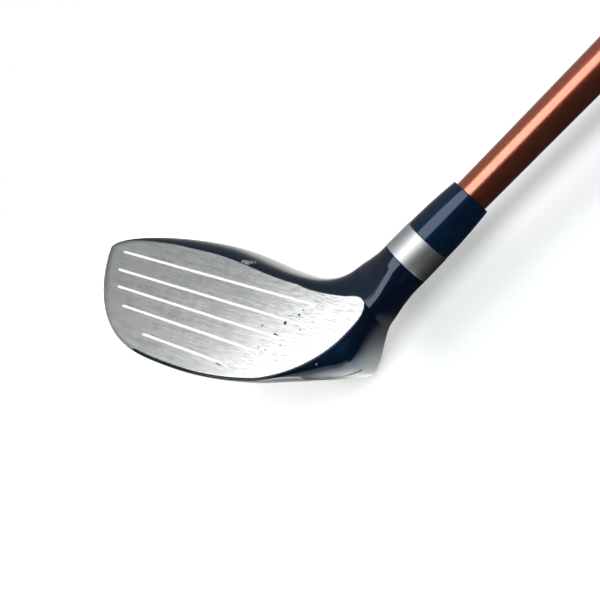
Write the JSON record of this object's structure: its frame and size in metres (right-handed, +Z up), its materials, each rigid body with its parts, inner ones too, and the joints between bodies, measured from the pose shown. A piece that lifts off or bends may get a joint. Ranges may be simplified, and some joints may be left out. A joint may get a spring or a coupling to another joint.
{
  "type": "hybrid golf club",
  "caption": "Right-handed hybrid golf club: hollow steel head with a flat grooved face, bonded hosel with trim ring and ferrule, long tapered shaft and a capped rubber grip.",
  "frame": {"origin": "bottom centre of the bounding box of the club lying at rest, on the floor", "axes": "+X along the shaft from the head to the grip, +Y toward the back of the head, +Z up; the sole and the rim of the grip cap lie on the floor at Z = 0"},
  "size_m": [1.0454, 0.0786, 0.0656],
  "materials": {
    "head_paint": "gloss navy paint on cast steel",
    "face_steel": "brushed along the score lines",
    "score_paint": "white paint fill",
    "sole_steel": "satin bare steel",
    "ring_metal": "turned satin",
    "ferrule_plastic": "polished",
    "glue": "cured epoxy",
    "shaft_finish": "clear-coated copper over graphite composite",
    "brass": "turned",
    "tape": "double-sided tape",
    "grip_rubber": "matte moulded texture"
  },
  "bodies": {
    "root": {"head_body": "head_paint", "face_plate": "face_steel", "score_paint_1": "score_paint", "score_paint_2": "score_paint", "score_paint_3": "score_paint", "score_paint_4": "score_paint", "score_paint_5": "score_paint", "sole_plate": "sole_steel", "hosel_ring": "ring_metal", "ferrule": "ferrule_plastic", "tip_glue": "glue", "shaft": "shaft_finish", "tip_weight": "brass", "grip_tape": "tape", "grip": "grip_rubber", "grip_cap": "grip_rubber"}
  },
  "joints": []
}
